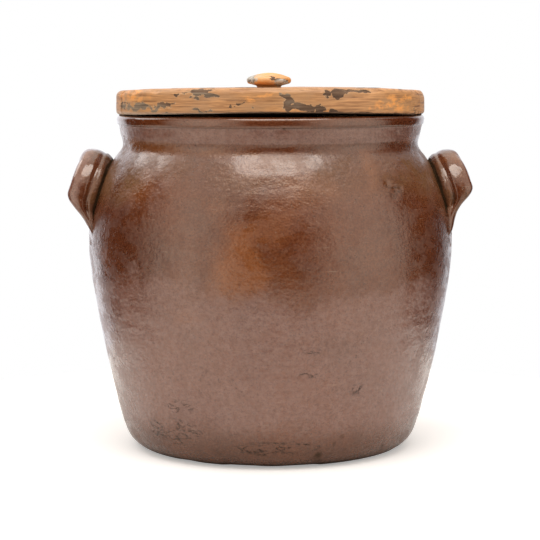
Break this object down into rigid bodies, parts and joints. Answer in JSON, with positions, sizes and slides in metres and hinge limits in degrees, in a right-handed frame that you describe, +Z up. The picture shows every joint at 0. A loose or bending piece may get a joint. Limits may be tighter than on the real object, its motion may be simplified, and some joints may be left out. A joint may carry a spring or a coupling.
{
  "type": "ceramic crock fermenter",
  "caption": "Round stoneware fermenting crock with arched lug handles, a lift-off wooden lid with a turned knob, and half-moon weights inside.",
  "frame": {"origin": "centre of the pot's foot, on the surface that it stands on", "axes": "+Z up along the pot's axis, the two handles along X, -Y towards the viewer in front"},
  "size_m": [0.3576, 0.3296, 0.3372],
  "materials": {
    "salt_glaze": "salt-glazed brown stoneware, orange-peel satin",
    "painted_board": "worn ochre paint over grey wood",
    "bare_wood": "bare, stained by brine",
    "knob_paint": "chipped orange-ochre paint",
    "screw_steel": "dulled, lightly rusted",
    "weight_stoneware": "unglazed buff stoneware"
  },
  "bodies": {
    "crock": {"crock_pot": "salt_glaze", "handle_left": "salt_glaze", "handle_right": "salt_glaze"},
    "lid": {"lid_board_front": "painted_board", "lid_board_middle": "painted_board", "lid_board_back": "painted_board", "lid_batten_left": "bare_wood", "lid_batten_right": "bare_wood", "batten_screws_left": "screw_steel", "batten_screws_right": "screw_steel", "knob": "knob_paint", "knob_screw": "screw_steel", "knob_washer": "screw_steel"},
    "weight_left": {"weight_left": "weight_stoneware"},
    "weight_right": {"weight_right": "weight_stoneware"}
  },
  "joints": [
    {"name": "lid_lift", "type": "slide", "parent": "crock", "child": "lid", "axis": [0, 0, 1], "range_m": [0, 0.25]},
    {"name": "weight_left_lift", "type": "slide", "parent": "crock", "child": "weight_left", "axis": [0, 0, 1], "range_m": [0, 0.2]},
    {"name": "weight_right_lift", "type": "slide", "parent": "crock", "child": "weight_right", "axis": [0, 0, 1], "range_m": [0, 0.2]}
  ]
}
